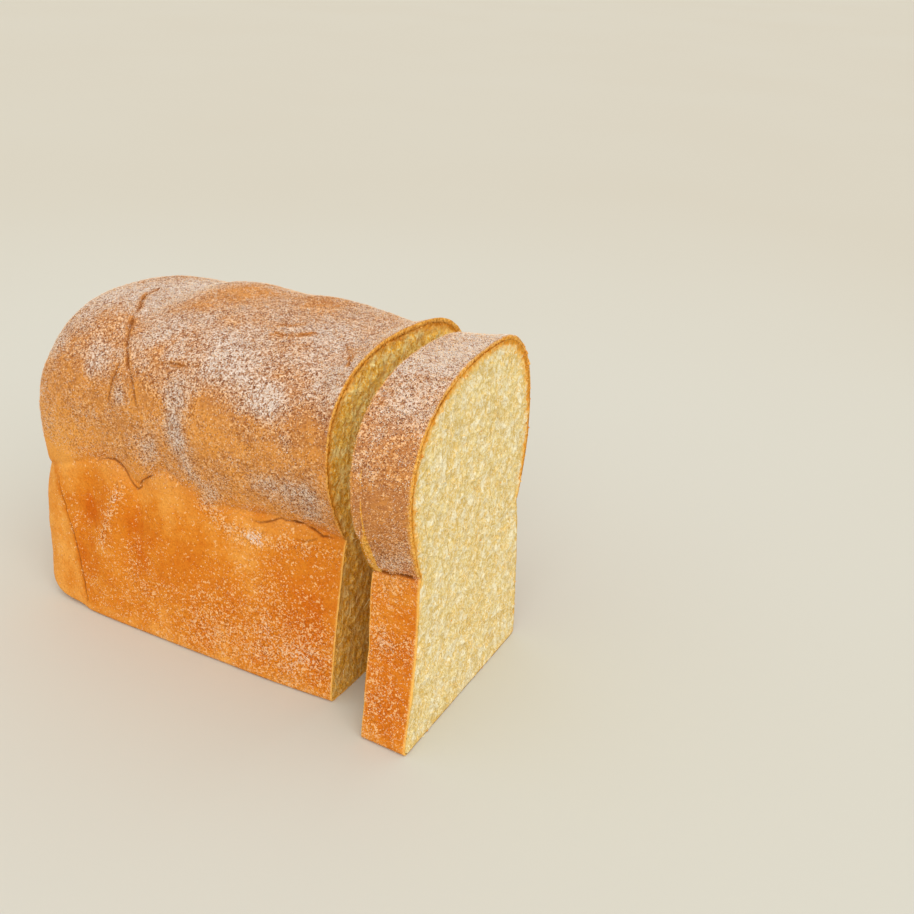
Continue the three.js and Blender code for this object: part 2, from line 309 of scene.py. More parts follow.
def merged_copy(node, name):
    """A new piece with the solid's surface, its doubles merged and most of its triangles paired."""
    piece = bpy.data.objects.new(name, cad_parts[node].data.copy())
    bpy.context.scene.collection.objects.link(piece)
    work_on(piece)
    bpy.ops.object.mode_set(mode="EDIT")
    bpy.ops.mesh.select_all(action="SELECT")
    bpy.ops.mesh.remove_doubles(threshold=MERGE)
    bpy.ops.mesh.customdata_custom_splitnormals_clear()
    bpy.ops.mesh.tris_convert_to_quads(face_threshold=math.pi, shape_threshold=math.pi)
    bpy.ops.object.mode_set(mode="OBJECT")
    bpy.ops.object.shade_smooth()
    piece.data.materials.clear()
    return piece


def open_cuts(piece, beyond):
    """Takes away the flat face of each cut that lies past that x."""
    meeting = np.bincount(edges_of(piece).ravel(), minlength=len(piece.data.vertices))
    select(piece, (meeting > MANY_EDGES) & (points_of(piece)[:, 0] > beyond))
    bpy.ops.mesh.delete(type="VERT")
    bpy.ops.object.mode_set(mode="OBJECT")


def subdivide_smooth(piece, levels):
    """Rounds the piece with an applied Subdivision Surface."""
    finer = piece.modifiers.new("finer", "SUBSURF")
    finer.levels = levels
    finer.render_levels = levels
    bpy.ops.object.modifier_apply(modifier=finer.name)


def refine(piece, mask, cuts):
    """Cuts the faces between the masked vertices into smaller ones."""
    select(piece, mask)
    bpy.ops.mesh.subdivide(number_cuts=cuts)
    bpy.ops.object.mode_set(mode="OBJECT")


def near_paths(points, paths, reach):
    """Which points lie within that reach of any path."""
    near = np.zeros(len(points), bool)
    for path in paths:
        numbers, away = off_path(points, path)[:2]
        near[numbers[away < reach]] = True
    return near


def cut_frame(points, outward_hint):
    """Middle, across, up and outward directions of a flat cut."""
    middle = (points.min(0) + points.max(0)) / 2
    outward = np.linalg.svd(points - points.mean(0), full_matrices=False)[2][2]
    outward *= np.sign(outward @ outward_hint)
    across = np.cross((0, 0, 1), outward)
    across /= np.linalg.norm(across)
    return middle, across, np.cross(outward, across), outward


def rim_inside(points, share):
    """An outline drawn in towards a low middle, so that the rim is thickest at the dome."""
    middle = np.array([0, (points[:, 1].min() + points[:, 1].max()) / 2, RIM_HEIGHT])
    return np.column_stack([points[:, 0], (points[:, 1:] - middle[1:]) * share + middle[1:]])


def hollow_cut(piece, loop, outward):
    """Closes an open cut with a rim of crust round a shallow hollow."""
    outline = points_of(piece)[loop]
    mask = np.zeros(len(piece.data.vertices), bool)
    mask[loop] = True
    select(piece, mask)
    done = 1.0
    for share in RIM_SHARES:
        centre = ((outline[:, 0].min() + outline[:, 0].max()) / 2,
                  (outline[:, 1].min() + outline[:, 1].max()) / 2, RIM_HEIGHT)
        bpy.ops.mesh.extrude_region_move()
        bpy.ops.transform.resize(value=(1, share / done, share / done), center_override=centre)
        done = share
    bpy.ops.mesh.extrude_region_move(TRANSFORM_OT_translate={"value": tuple(-outward * HOLLOW)})
    bpy.ops.mesh.edge_face_add()
    bpy.ops.object.mode_set(mode="OBJECT")


def seam_path():
    """The corner seam by the rounded end, from the base up, in millimetres."""
    return [(SEAM_FOOT - SEAM_CURVE * z * z, -44, z) for z in range(1, SEAM_TOP, 4)]


def unevenness(points):
    """Low waves and fine wrinkles of a baked skin."""
    waves = 0.22 * noise(points, 14 * MM, 1) + 0.14 * noise(points, 6 * MM, 2)
    return MM * (waves + 0.09 * noise(points, 2.6 * MM, 3))


def finish_crust(piece, cracks, cut_xs):
    """Presses the cracks and unevenness into a crust and keeps the painted shade in the cracks and how rubbed each
    place is.
    """
    points = points_of(piece)
    normals = points_of(piece, "normal")
    total = unevenness(points)
    shade, rubbed = np.zeros((2, len(points)))
    for path, depth, width, lip in cracks:
        relief, dark, bare = crack_relief(points, normals, path, depth * MM, width * MM, lip * MM)
        total += relief
        shade = np.maximum(shade, dark * min(1, depth / 0.8))
        rubbed = np.maximum(rubbed, bare * min(1, depth / 0.8))
    total *= ease(points[:, 2] / (4 * MM))
    moved = points + normals * total[:, None]
    for low, high in cut_xs:
        at_cut = (points[:, 0] > low) & (points[:, 0] < high)
        moved[at_cut, 0] = points[at_cut, 0] + 0.2 * MM * noise(points[at_cut], 1.5 * MM, 4)
    moved[:, 2] = np.maximum(moved[:, 2], 0)
    move_points(piece, moved)
    # The crack numbers are painted shade that darkens the grooves
    paint(piece, "crack", shade)
    return rubbed


def beyond_seam(points):
    """From 0 to 1 across the corner seam, towards the rounded end."""
    x, z = points[:, 0] / MM, points[:, 2] / MM
    return ease((SEAM_FOOT - SEAM_CURVE * z * z - x) / 3) * ease((66 - z) / 8)


def loaf_dust(points):
    """How thickly the loaf is dusted, from 0 to 1."""
    x, z = points[:, 0] / MM, points[:, 2] / MM
    level = 0.04 + 0.25 * ease((z - 68) / 30) + 0.2 * ease((z - 100) / 26)
    level += 0.05 * ease((70 - z) / 10) + 0.16 * ease((48 - z) / 40) * ease((x + 65) / 70)
    level += DRIFT_SHARE * patches(points, DUST_PATCHES) + streaks(points, STREAKS)
    level = np.maximum(level, 0.26 * ease((z - 64) / 16))
    level += 0.06 * ease((z - 66) / 10) * ease((106 - z) / 20)
    level += 0.07 * noise(points, 14 * MM, 7) + 0.08 * noise(points, 6.5 * MM, 8) + 0.06 * noise(points, 3 * MM, 9)
    return np.clip(level * (1 - 0.8 * beyond_seam(points)), 0, 1)


def loaf_bake(points):
    """How darkly the loaf is baked, from 0 (pale gold) to 1 (brown)."""
    z = points[:, 2] / MM
    level = 0.35 + 0.38 * ease((z - 66) / 14) + 0.18 * ease((z - 98) / 24)
    level -= 0.2 * ease((9 - z) / 8)
    level += patches(points, BAKE_PATCHES)
    level = np.minimum(level, 0.72 + 0.3 * ease((z - 62) / 10))
    level -= 0.22 * beyond_seam(points)
    grain = noise(points * (1, 1, 0.3), 7 * MM, 12)
    level += 0.05 * noise(points, 18 * MM, 11) + 0.12 * grain * ease((72 - z) / 10)
    return np.clip(level, 0, 1)


def slice_dust(points):
    """How thickly the slice's crust is dusted, from 0 to 1."""
    z = points[:, 2] / MM
    level = 0.23 + 0.09 * ease((z - 68) / 14) + 0.1 * ease((z - 108) / 24)
    level += DRIFT_SHARE * patches(points, SLICE_DUST_PATCHES)
    level += 0.07 * noise(points, 9 * MM, 17) + 0.07 * noise(points, 4 * MM, 18)
    return np.clip(level, 0, 1)


def slice_bake(points):
    """How darkly the slice's crust is baked."""
    z = points[:, 2] / MM
    level = 0.4 + 0.52 * ease((z - 67) / 8) + 0.04 * ease((z - 105) / 30)
    level -= 0.15 * ease((9 - z) / 8)
    level += patches(points, SLICE_BAKE_PATCHES) + 0.08 * noise(points, 9 * MM, 21)
    return np.clip(level, 0, 1)


def paint_crust(piece, dust, bake, rubbed, rim, outer):
    """Keeps dusting, bake and nearness to a cut for the crust's material; past the outer count all is rim."""
    points = points_of(piece)
    paint(piece, "dust", dust(points) * (1 - 0.8 * rubbed))
    paint(piece, "bake", bake(points))
    paint(piece, "dome", ease((points[:, 2] / MM - 62 + 4 * noise(points, 8 * MM, 13)) / 18))
    near = rim(points)
    near[outer:] = 1
    paint(piece, "rim", near)


def loaf_crust():
    """The loaf's crust, open towards the crumb at the cut."""
    piece = merged_copy("loaf", "loaf_crust")
    open_cuts(piece, CUT_X - 1 * MM)
    subdivide_smooth(piece, 2)
    rows = ((LONG_CRACK, 1.1, 0.65, 0.35), (FAINT_CRACK, 0.8, 0.5, 0.15), (LEVEL_CRACK, 0.95, 0.5, 0.15),
            (TOP_CRACK, 0.95, 0.6, 0.2), (HIGH_CRACK, 0.7, 0.5, 0.1), (CUT_CRACK, 0.7, 0.45, 0.15),
            (BREAK_CRACK, 1.0, 0.48, 0.4), (UNDER_CRACK, 0.5, 0.42, 0.2), (ARCH_CRACK, 0.7, 0.4, 0.2),
            (seam_path(), 1.0, 0.5, 0.3))
    paths = [(lay_path(piece, points), *sizes) for points, *sizes in rows]
    near = near_paths(points_of(piece), [row[0] for row in paths], 2.5 * MM)
    refine(piece, near, 2)
    refine(piece, points_of(piece)[:, 0] > CUT_X - 1.2 * MM, 1)
    outline = open_loops(piece)[0]
    ring = points_of(piece)[outline]
    outer = len(piece.data.vertices)
    hollow_cut(piece, outline, np.array((1.0, 0, 0)))
    rubbed = finish_crust(piece, paths, [(CUT_X - 0.3 * MM, CUT_X + 1 * MM)])
    paint_crust(piece, loaf_dust, loaf_bake, rubbed, lambda points: ease(1 - (CUT_X - points[:, 0]) / LOAF_REACH), outer)
    return piece, [ring]


def slice_crust():
    """The slice's band of crust, open towards the crumb at both cuts."""
    piece = merged_copy("slice", "slice_crust")
    open_cuts(piece, SLICE_LOW[0] - 1)
    subdivide_smooth(piece, 3)
    paths = [(lay_path(piece, SLICE_HOOK, 0.1 * MM), 0.7, 0.5, 0.2), (lay_path(piece, SLICE_WRINKLE), 0.35, 0.5, 0.1),
             (lay_path(piece, SLICE_BREAK, 0.3 * MM), 1.3, 0.6, 0.35)]
    loops = open_loops(piece)
    points = points_of(piece)
    rings = sorted([points[loop] for loop in loops], key=lambda ring: ring[:, 0].mean())
    loops.sort(key=lambda loop: points[loop][:, 0].mean())
    frames = [cut_frame(ring, (hint, 0, 0)) for ring, hint in zip(rings, (-1, 1))]

    outer = len(points)

    def near_cut(places):
        """Nearness to the two cut planes: a hair's breadth at the back, wider down the front."""
        back, front = (np.abs((places - middle) @ outward) for middle, _, _, outward in frames)
        low = ease((122 * MM - places[:, 2]) / (28 * MM)) - 0.6 * ease((76 * MM - places[:, 2]) / (8 * MM))
        reach = BACK_REACH + (FRONT_REACH - BACK_REACH) * (0.2 + 0.8 * low)
        return np.maximum(ease(1 - back / BACK_REACH), ease(1 - front / reach))

    for loop, (_, _, _, outward) in zip(loops, frames):
        hollow_cut(piece, loop, outward)
    rubbed = finish_crust(piece, paths, [])
    paint_crust(piece, slice_dust, slice_bake, rubbed, near_cut, outer)
    return piece, rings


# Crumb

def outline_distance(flat, outline):
    """Distance of flat points from a closed outline, above nought inside it, with the nearest place on it."""
    start = outline
    run = np.roll(outline, -1, axis=0) - start
    best = np.full(len(flat), 1.0)
    nearest = np.zeros((len(flat), 2))
    inside = np.zeros(len(flat), bool)
    for (ax, ay), (dx, dy) in zip(start, run):
        length = dx * dx + dy * dy
        share = np.clip(((flat[:, 0] - ax) * dx + (flat[:, 1] - ay) * dy) / length, 0, 1)
        px, py = ax + share * dx, ay + share * dy
        away = np.hypot(flat[:, 0] - px, flat[:, 1] - py)
        closer = away < best
        best[closer] = away[closer]
        nearest[closer, 0], nearest[closer, 1] = px[closer], py[closer]
        if dy:
            crosses = (ay > flat[:, 1]) != (ay + dy > flat[:, 1])
            inside ^= crosses & (flat[:, 0] < ax + dx * (flat[:, 1] - ay) / dy)
    return np.where(inside, best, -best), nearest


def pores(width, height, cell, count, rng):
    """Depth of the overlapping pores on a lattice, as shares of a millimetre."""
    rows, columns = int(height / cell) + 1, int(width / cell) + 1
    depth = np.zeros((rows, columns))
    across = rng.uniform(0, width, count)
    up = rng.uniform(0, height, count)
    radius = np.clip(rng.lognormal(-0.45, 0.42, count), 0.32, 2.2) * MM
    stretch = rng.uniform(1.1, 2.6, count)
    lean = rng.normal(0, 0.45, count)
    bowl = rng.uniform(0.45, 1.0, count) * np.sqrt(radius / MM)
    for a, b, r, s, t, d in zip(across, up, radius, stretch, lean, bowl):
        reach = r * s
        i0, i1 = max(int((a - reach) / cell), 0), min(int((a + reach) / cell) + 2, columns)
        j0, j1 = max(int((b - reach) / cell), 0), min(int((b + reach) / cell) + 2, rows)
        x = np.arange(i0, i1) * cell - a
        y = (np.arange(j0, j1) * cell - b)[:, None]
        side = (x * math.cos(t) + y * math.sin(t)) / r
        length = (-x * math.sin(t) + y * math.cos(t)) / (r * s)
        well = d * np.sqrt(np.maximum(1 - side * side - length * length, 0))
        depth[j0:j1, i0:i1] = np.maximum(depth[j0:j1, i0:i1], well)
    return depth


def crumb_face(name, ring, outward_hint, cell, seed, roughness=1.0):
    """A thin slab of open crumb that fills the hollow of one cut."""
    rng = np.random.default_rng(seed)
    middle, across, up, outward = cut_frame(ring, outward_hint)
    low = np.array([((ring - middle) @ across).min(), ((ring - middle) @ up).min()])
    high = np.array([((ring - middle) @ across).max(), ((ring - middle) @ up).max()])
    inner = rim_inside(ring, RIM_SHARES[-1]) - middle
    outline = np.column_stack([inner @ across, inner @ up])
    skin = np.column_stack([(ring - middle) @ across, (ring - middle) @ up])
    width, height = high - low
    columns, rows = int(width / cell), int(height / cell)
    bpy.ops.mesh.primitive_grid_add(x_subdivisions=columns, y_subdivisions=rows, size=1)
    piece = bpy.context.object
    piece.name = name
    flat = (points_of(piece)[:, :2] + 0.5) * (width, height) + low
    inside, _ = outline_distance(flat, outline)
    depth_in, _ = outline_distance(flat, skin)
    wells = pores(width, height, cell, int(width * height / (1.15 * MM * MM)), rng)
    lattice = np.clip(((flat - low) / cell).astype(int), 0, (wells.shape[1] - 1, wells.shape[0] - 1))
    well = wells[lattice[:, 1], lattice[:, 0]]
    solid = np.column_stack([flat, np.full(len(flat), seed * 0.01)])
    relief = 0.45 * noise(solid, 17 * MM, 31) + 0.3 * noise(solid, 6 * MM, 32)
    relief += 0.22 * noise(solid * (1, 0.6, 1), 1.3 * MM, 33) + 0.14 * noise(solid, 1.1 * MM, 34)
    relief += 0.35 - roughness * 0.95 * well
    level = ease((inside + TUCK) / (1.6 * MM))
    out = (relief * level) * MM - SUNK * (1 - level)
    move_points(piece, middle + flat[:, :1] * across + flat[:, 1:] * up + out[:, None] * outward)
    # Pore depth, which the crumb material also uses to paint shade into the deep pores
    paint(piece, "well", well)
    _, y, z = points_of(piece).T / MM
    thin_rim = 1.5 - 0.7 * ease((z - 60) / 30) - 0.2 * ease((y - 12) / 10) * ease((z - 92) / 12)
    paint(piece, "depth", depth_in / (10 * MM) * thin_rim + 0.17 * ease((78 - z) / 16) + 0.07 * ease((122 - z) / 26))
    work_on(piece)
    select(piece, inside < -TUCK)
    bpy.ops.mesh.delete(type="VERT")
    bpy.ops.object.mode_set(mode="OBJECT")
    snap_edge(piece, middle, across, up, outline)
    select(piece, np.zeros(len(piece.data.vertices), bool))
    bpy.ops.mesh.select_non_manifold()
    bpy.ops.mesh.extrude_region_move(TRANSFORM_OT_translate={"value": tuple(-outward * CRUMB_THICK)})
    bpy.ops.transform.resize(value=(1, BACK_SHARE, BACK_SHARE), center_override=tuple(middle))
    bpy.ops.mesh.edge_face_add()
    bpy.ops.object.mode_set(mode="OBJECT")
    bpy.ops.object.shade_smooth()
    return piece


def snap_edge(piece, middle, across, up, outline):
    """Draws the stepped edge of a slab of crumb onto the outline, tucked under the rim."""
    edge = sorted({number for loop in open_loops(piece) for number in loop})
    points = points_of(piece)
    local = points[edge] - middle
    flat = np.column_stack([local @ across, local @ up])
    inside, nearest = outline_distance(flat, outline)
    target = nearest + (nearest - flat) * (TUCK / np.maximum(np.abs(inside), MERGE) * np.sign(inside))[:, None]
    shift = target - flat
    points[edge] += shift[:, :1] * across + shift[:, 1:] * up
    move_points(piece, points)


# Scattered grains

def triangles_of(piece):
    """The three vertex numbers of each triangle."""
    piece.data.calc_loop_triangles()
    flat = np.empty(len(piece.data.loop_triangles) * 3, np.int32)
    piece.data.loop_triangles.foreach_get("vertices", flat)
    return flat.reshape(-1, 3)


def scatter(piece, weight, count, rng):
    """Chance places on the piece, more where the weight is high, with the ways out of the surface and the weights."""
    corners = points_of(piece)[triangles_of(piece)]
    cross = np.cross(corners[:, 1] - corners[:, 0], corners[:, 2] - corners[:, 0])
    area = np.linalg.norm(cross, axis=1)
    local = weight[triangles_of(piece)].mean(axis=1)
    share = area * local
    pick = rng.choice(len(area), count, p=share / share.sum())
    along = rng.random((2, count))
    folded = along.sum(axis=0) > 1
    along[:, folded] = 1 - along[:, folded]
    first, second, third = (corners[pick, k] for k in range(3))
    places = first + along[0][:, None] * (second - first) + along[1][:, None] * (third - first)
    return places, cross[pick] / area[pick][:, None], local[pick]


def turns(count, rng):
    """Chance rotations as matrices."""
    quaternion = rng.normal(size=(count, 4))
    quaternion /= np.linalg.norm(quaternion, axis=1)[:, None]
    w, x, y, z = quaternion.T
    rows = [[1 - 2 * (y * y + z * z), 2 * (x * y - z * w), 2 * (x * z + y * w)],
            [2 * (x * y + z * w), 1 - 2 * (x * x + z * z), 2 * (y * z - x * w)],
            [2 * (x * z - y * w), 2 * (y * z + x * w), 1 - 2 * (x * x + y * y)]]
    return np.array(rows).transpose(2, 0, 1)


WEDGE = (np.array([(1, 0, 0), (-0.5, 0.87, 0), (-0.5, -0.87, 0), (0, 0, 1), (0, 0, -1)]),
         np.array([(0, 1, 3), (1, 2, 3), (2, 0, 3), (1, 0, 4), (2, 1, 4), (0, 2, 4)]))
CHIP = (np.array([(1, 0, -0.4), (-0.5, 0.87, -0.4), (-0.5, -0.87, -0.4), (0, 0, 1)]),
        np.array([(0, 1, 3), (1, 2, 3), (2, 0, 3), (0, 2, 1)]))


def grains(name, shape, places, outward, sizes, tones, rng, sink=0.25):
    """One joined mesh of small grains that lie on a surface."""
    corners, faces = shape
    count = len(places)
    stretch = rng.uniform(0.6, 1.2, (count, 1, 3))
    local = np.einsum("nij,nkj->nki", turns(count, rng), corners[None] * stretch)
    middle = places + outward * (sizes * (0.5 - sink))[:, None]
    points = middle[:, None] + local * (sizes / 2)[:, None, None]
    points[:, :, 2] = np.maximum(points[:, :, 2], 0)
    numbers = faces[None] + (np.arange(count) * len(corners))[:, None, None]
    mesh = bpy.data.meshes.new(name)
    mesh.vertices.add(count * len(corners))
    mesh.vertices.foreach_set("co", points.astype(np.float32).ravel())
    mesh.loops.add(numbers.size)
    mesh.loops.foreach_set("vertex_index", numbers.astype(np.int32).ravel())
    mesh.polygons.add(count * len(faces))
    mesh.polygons.foreach_set("loop_start", np.arange(0, numbers.size, 3, dtype=np.int32))
    mesh.update(calc_edges=True)
    mesh.validate()
    piece = bpy.data.objects.new(name, mesh)
    bpy.context.scene.collection.objects.link(piece)
    paint(piece, "tone", np.repeat(tones, len(corners)))
    return piece


def dusting(name, crust, shape, count, low, high, clump, seed):
    """Grains of the white dusting on a crust, more where it is dusted and in small drifts."""
    rng = np.random.default_rng(seed)
    dust = painted(crust, "dust") * (1 - painted(crust, "rim"))
    off_base = ease((points_of(crust)[:, 2] - 0.5 * MM) / (2 * MM))
    high_up = 0.4 + 0.6 * ease((points_of(crust)[:, 2] - 64 * MM) / (12 * MM))
    places, outward, thick = scatter(crust, dust * off_base * high_up + 1e-6, int(count * 1.6), rng)
    drift = 0.5 + clump * noise(places, 1.7 * MM, 41) + 0.5 * clump * noise(places, 4.5 * MM, 42)
    keep = np.flatnonzero(drift > rng.random(len(places)) * 0.8)[:count]
    sizes = rng.uniform(low, high, len(keep)) * MM
    tones = np.clip(0.7 * thick[keep] + 0.14 + rng.normal(0, 0.27, len(keep)), 0, 1)
    return grains(name, shape, places[keep], outward[keep], sizes, tones, rng)


def lump():
    """A small rounded lump of 20 faces."""
    mesh = bmesh.new()
    bmesh.ops.create_icosphere(mesh, subdivisions=1, radius=1)
    shape = (np.array([vert.co[:] for vert in mesh.verts]), np.array([[v.index for v in f.verts] for f in mesh.faces]))
    mesh.free()
    return shape


def loose_crumbs(name, faces, seed):
    """Crumbs that cling along the rims of the cuts."""
    rng = np.random.default_rng(seed)
    places, outward = [], []
    for face, count in faces:
        front = np.abs(points_of(face, "normal")[:, 0]) > 0.3
        near_rim = ease((0.45 - np.abs(painted(face, "depth") - 0.1)) / 0.4) * front
        spot, way, _ = scatter(face, near_rim ** 3 + 0.006 * front, count, rng)
        places.append(spot)
        outward.append(way)
    places, outward = np.concatenate(places), np.concatenate(outward)
    sizes = np.clip(rng.lognormal(-0.6, 0.4, len(places)), 0.3, 1.4) * MM
    return grains(name, lump(), places, outward, sizes, rng.uniform(0, 0.5, len(places)), rng)


def torn_crust(name, ring, low_z, high_z, count, seed):
    """Torn bits of crust that stick out along a stretch of a cut's far edge."""
    rng = np.random.default_rng(seed)
    far = ring[(ring[:, 1] > 0) & (ring[:, 2] > low_z * MM) & (ring[:, 2] < high_z * MM)]
    places = far[rng.integers(0, len(far), count)] + rng.normal(0, 0.45, (count, 3)) * MM - (0.3 * MM, 0.7 * MM, 0)
    outward = np.tile((0.5, 0.85, 0.1), (count, 1))
    sizes = np.clip(rng.lognormal(0, 0.45, count), 0.5, 2.4) * MM
    return grains(name, lump(), places, outward, sizes, rng.uniform(0, 0.3, count), rng, 0.5)


def strands(name, face, count, shortest, longest, palest, seed):
    """Torn fibres that lie along a cut face, each a thin tapered three-sided rod."""
    rng = np.random.default_rng(seed)
    tree = BVHTree.FromPolygons([tuple(p) for p in points_of(face)], triangles_of(face).tolist())
    normals = points_of(face, "normal")
    front = np.abs(normals[:, 0]) > 0.3
    outward = normals[front].mean(axis=0)
    outward /= np.linalg.norm(outward)
    across = np.cross((0, 0, 1), outward)
    inner = (painted(face, "depth") > 0.35) & front
    start = scatter(face, inner + 0.0, count, rng)[0]
    points, quads, tones = [], [], []
    steps = 5
    for place in start:
        lean = rng.normal(0, 1.1)
        length = rng.uniform(shortest, longest) * MM
        bend = rng.normal(0, 0.5)
        thick = rng.uniform(0.1, 0.26) * MM
        rise = rng.uniform(0.1, 0.7) * MM
        tone = palest * rng.uniform(0.55, 1.0)
        first = len(points)
        for k in range(steps):
            share = k / (steps - 1) - 0.5
            angle = lean + bend * share
            way = across * math.sin(angle) + np.array((0, 0, 1.0)) * math.cos(angle)
            spot = place + way * length * share
            hit = tree.ray_cast(Vector(spot + outward * 6 * MM), Vector(-outward))[0]
            if hit is None:
                del points[first:]
                break
            side = np.cross(way, outward)
            middle = np.array(hit) + outward * rise * (0.6 - 2 * share * share)
            girth = thick * (1.05 - 1.7 * abs(share))
            points += [middle + side * girth, middle + outward * girth, middle - side * girth]
        else:
            rings = [[first + 3 * k + j for j in range(3)] for k in range(steps)]
            for low, high in zip(rings, rings[1:]):
                quads += [(low[j], low[(j + 1) % 3], high[(j + 1) % 3], high[j]) for j in range(3)]
            quads += [(rings[0][2], rings[0][1], rings[0][0]), tuple(rings[-1])]
            tones += [tone] * (3 * steps)
    mesh = bpy.data.meshes.new(name)
    mesh.from_pydata(points, [], quads)
    piece = bpy.data.objects.new(name, mesh)
    bpy.context.scene.collection.objects.link(piece)
    work_on(piece)
    bpy.ops.object.mode_set(mode="EDIT")
    bpy.ops.mesh.select_all(action="SELECT")
    bpy.ops.mesh.normals_make_consistent(inside=False)
    bpy.ops.object.mode_set(mode="OBJECT")
    paint(piece, "tone", np.array(tones))
    return piece


# Shader helpers

def put(tree, kind, inputs=None, **settings):
    """Adds a node, with its settings, and sets or links its inputs by name or number."""
    made = tree.nodes.new("ShaderNode" + kind)
    for key, value in settings.items():
        setattr(made, key, value)
    for key, value in (inputs or {}).items():
        if isinstance(value, bpy.types.NodeSocket):
            tree.links.new(value, made.inputs[key])
        else:
            made.inputs[key].default_value = value
    return made


def value_of(tree, name):
    """A number painted on the vertices."""
    return put(tree, "Attribute", attribute_name=name, attribute_type="GEOMETRY").outputs["Fac"]


def blend(tree, factor, first, second, kind="MIX"):
    """Mixes two colours."""
    mixed = put(tree, "Mix", {0: factor, 6: first, 7: second}, data_type="RGBA", blend_type=kind)
    return mixed.outputs[2]


def maths(tree, kind, first, second=0.0, clamp=False):
    """One sum of two numbers."""
    return put(tree, "Math", {0: first, 1: second}, operation=kind, use_clamp=clamp).outputs[0]


def spread(tree, value, low, high, out_low=0.0, out_high=1.0):
    """Stretches a range of a number over another range, and holds it there."""
    inputs = {"Value": value, "From Min": low, "From Max": high, "To Min": out_low, "To Max": out_high}
    return put(tree, "MapRange", inputs, interpolation_type="SMOOTHSTEP").outputs[0]


def mottle(tree, coords, size, detail=2.0, rough=0.5):
    """Noise with spots about that size across, in metres."""
    inputs = {"Vector": coords, "Scale": 1 / size, "Detail": detail, "Roughness": rough}
    return put(tree, "TexNoise", inputs).outputs["Fac"]


def ramp(tree, factor, stops):
    """A row of colours along a number."""
    made = put(tree, "ValToRGB", {"Fac": factor})
    stripe = made.color_ramp
    while len(stripe.elements) < len(stops):
        stripe.elements.new(0.5)
    for element, (place, colour) in zip(stripe.elements, stops):
        element.position = place
        element.color = (*colour, 1)
    return made.outputs["Color"]


def new_group(name, inputs, outputs):
    """An empty node group with named sockets; gives it with its input and output nodes."""
    tree = bpy.data.node_groups.new(name, "ShaderNodeTree")
    for label, kind, value in inputs:
        socket = tree.interface.new_socket(label, in_out="INPUT", socket_type="NodeSocket" + kind)
        if value is not None:
            socket.default_value = value
    for label, kind in outputs:
        tree.interface.new_socket(label, in_out="OUTPUT", socket_type="NodeSocket" + kind)
    return tree, tree.nodes.new("NodeGroupInput").outputs, tree.nodes.new("NodeGroupOutput").inputs


def use_group(tree, group, **inputs):
    """Places a node group and sets or links its inputs."""
    made = tree.nodes.new("ShaderNodeGroup")
    made.node_tree = group
    for key, value in inputs.items():
        if isinstance(value, bpy.types.NodeSocket):
            tree.links.new(value, made.inputs[key])
        else:
            made.inputs[key].default_value = value
    return made.outputs


def speckle_group():
    """Fine light and dark specks, as of baked flour, with a height."""
    tree, given, out = new_group("fine specks", [("Vector", "Vector", None), ("Size", "Float", 0.5 * MM)],
                                 [("Light", "Float"), ("Dark", "Float"), ("Height", "Float")])
    scale = maths(tree, "DIVIDE", 1.0, given["Size"])
    fine = put(tree, "TexNoise", {"Vector": given["Vector"], "Scale": scale, "Detail": 1.0, "Roughness": 0.7})
    fine = fine.outputs["Fac"]
    tree.links.new(spread(tree, fine, 0.52, 0.64), out["Light"])
    tree.links.new(spread(tree, fine, 0.49, 0.37), out["Dark"])
    tree.links.new(fine, out["Height"])
    return tree


def fleck_group():
    """Chance numbers for flecks the size of flour grains, which drift together a little."""
    tree, given, out = new_group("flour flecks", [("Vector", "Vector", None), ("Size", "Float", 0.5 * MM)],
                                 [("Chance", "Float"), ("Tone", "Float"), ("Mark", "Float")])
    scale = maths(tree, "DIVIDE", 1.0, given["Size"])
    cells = put(tree, "TexVoronoi", {"Vector": given["Vector"], "Scale": scale}).outputs["Color"]
    parts = put(tree, "SeparateColor", {0: cells}).outputs
    wide = maths(tree, "MULTIPLY", scale, 0.45)
    clump = put(tree, "TexNoise", {"Vector": given["Vector"], "Scale": wide, "Detail": 2.0}).outputs["Fac"]
    chance = maths(tree, "ADD", maths(tree, "MULTIPLY", parts[0], 0.6), maths(tree, "MULTIPLY", clump, 0.8))
    tree.links.new(chance, out["Chance"])
    tree.links.new(parts[1], out["Tone"])
    tree.links.new(parts[2], out["Mark"])
    return tree


def start_material(name, roughness, specular):
    """A new material's tree, its shader and Object coordinates."""
    made = bpy.data.materials.new(name)
    made.use_nodes = True
    tree = made.node_tree
    shader = tree.nodes["Principled BSDF"]
    shader.inputs["Roughness"].default_value = roughness
    shader.inputs["Specular IOR Level"].default_value = specular
    coords = put(tree, "TexCoord").outputs["Object"]
    return made, tree, shader, coords


def bump(tree, shader, height, strength, distance):
    """Feeds a height to the shader's normal."""
    made = put(tree, "Bump", {"Height": height, "Strength": strength, "Distance": distance})
    tree.links.new(made.outputs["Normal"], shader.inputs["Normal"])


WALL_STOPS = [(0.0, (0.90, 0.40, 0.075)), (0.35, (0.745, 0.24, 0.019)), (0.72, (0.63, 0.14, 0.005))]
DOME_STOPS = [(0.25, (0.84, 0.38, 0.08)), (0.68, (0.78, 0.33, 0.068)), (1.0, (0.50, 0.20, 0.062))]
# Painted micro-shade between the flour grains and painted light on them, mixed with random tone
SPECK_SHADE_STOPS = [(0.0, (0.34, 0.21, 0.15)), (0.2, (0.56, 0.42, 0.34)), (0.5, (1.03, 1.03, 1.03))]
VEIL = (0.43, 0.235, 0.14, 1)
# Painted shade in the pits between the flour grains
PIT_SHADE = (0.26, 0.085, 0.018, 1)
THIN_FLOUR = (0.94, 0.55, 0.25, 1)
THICK_FLOUR = (0.85, 0.74, 0.65, 1)
FLOUR_SHARE = 0.57
# Painted shade in the grooves of the cracks
CRACK_SHADE = (0.24, 0.07, 0.012, 1)
RIM_BROWN = (0.76, 0.30, 0.026, 1)
RIM_GOLD = (0.96, 0.55, 0.13, 1)
SCORCH = (0.36, 0.11, 0.01, 1)


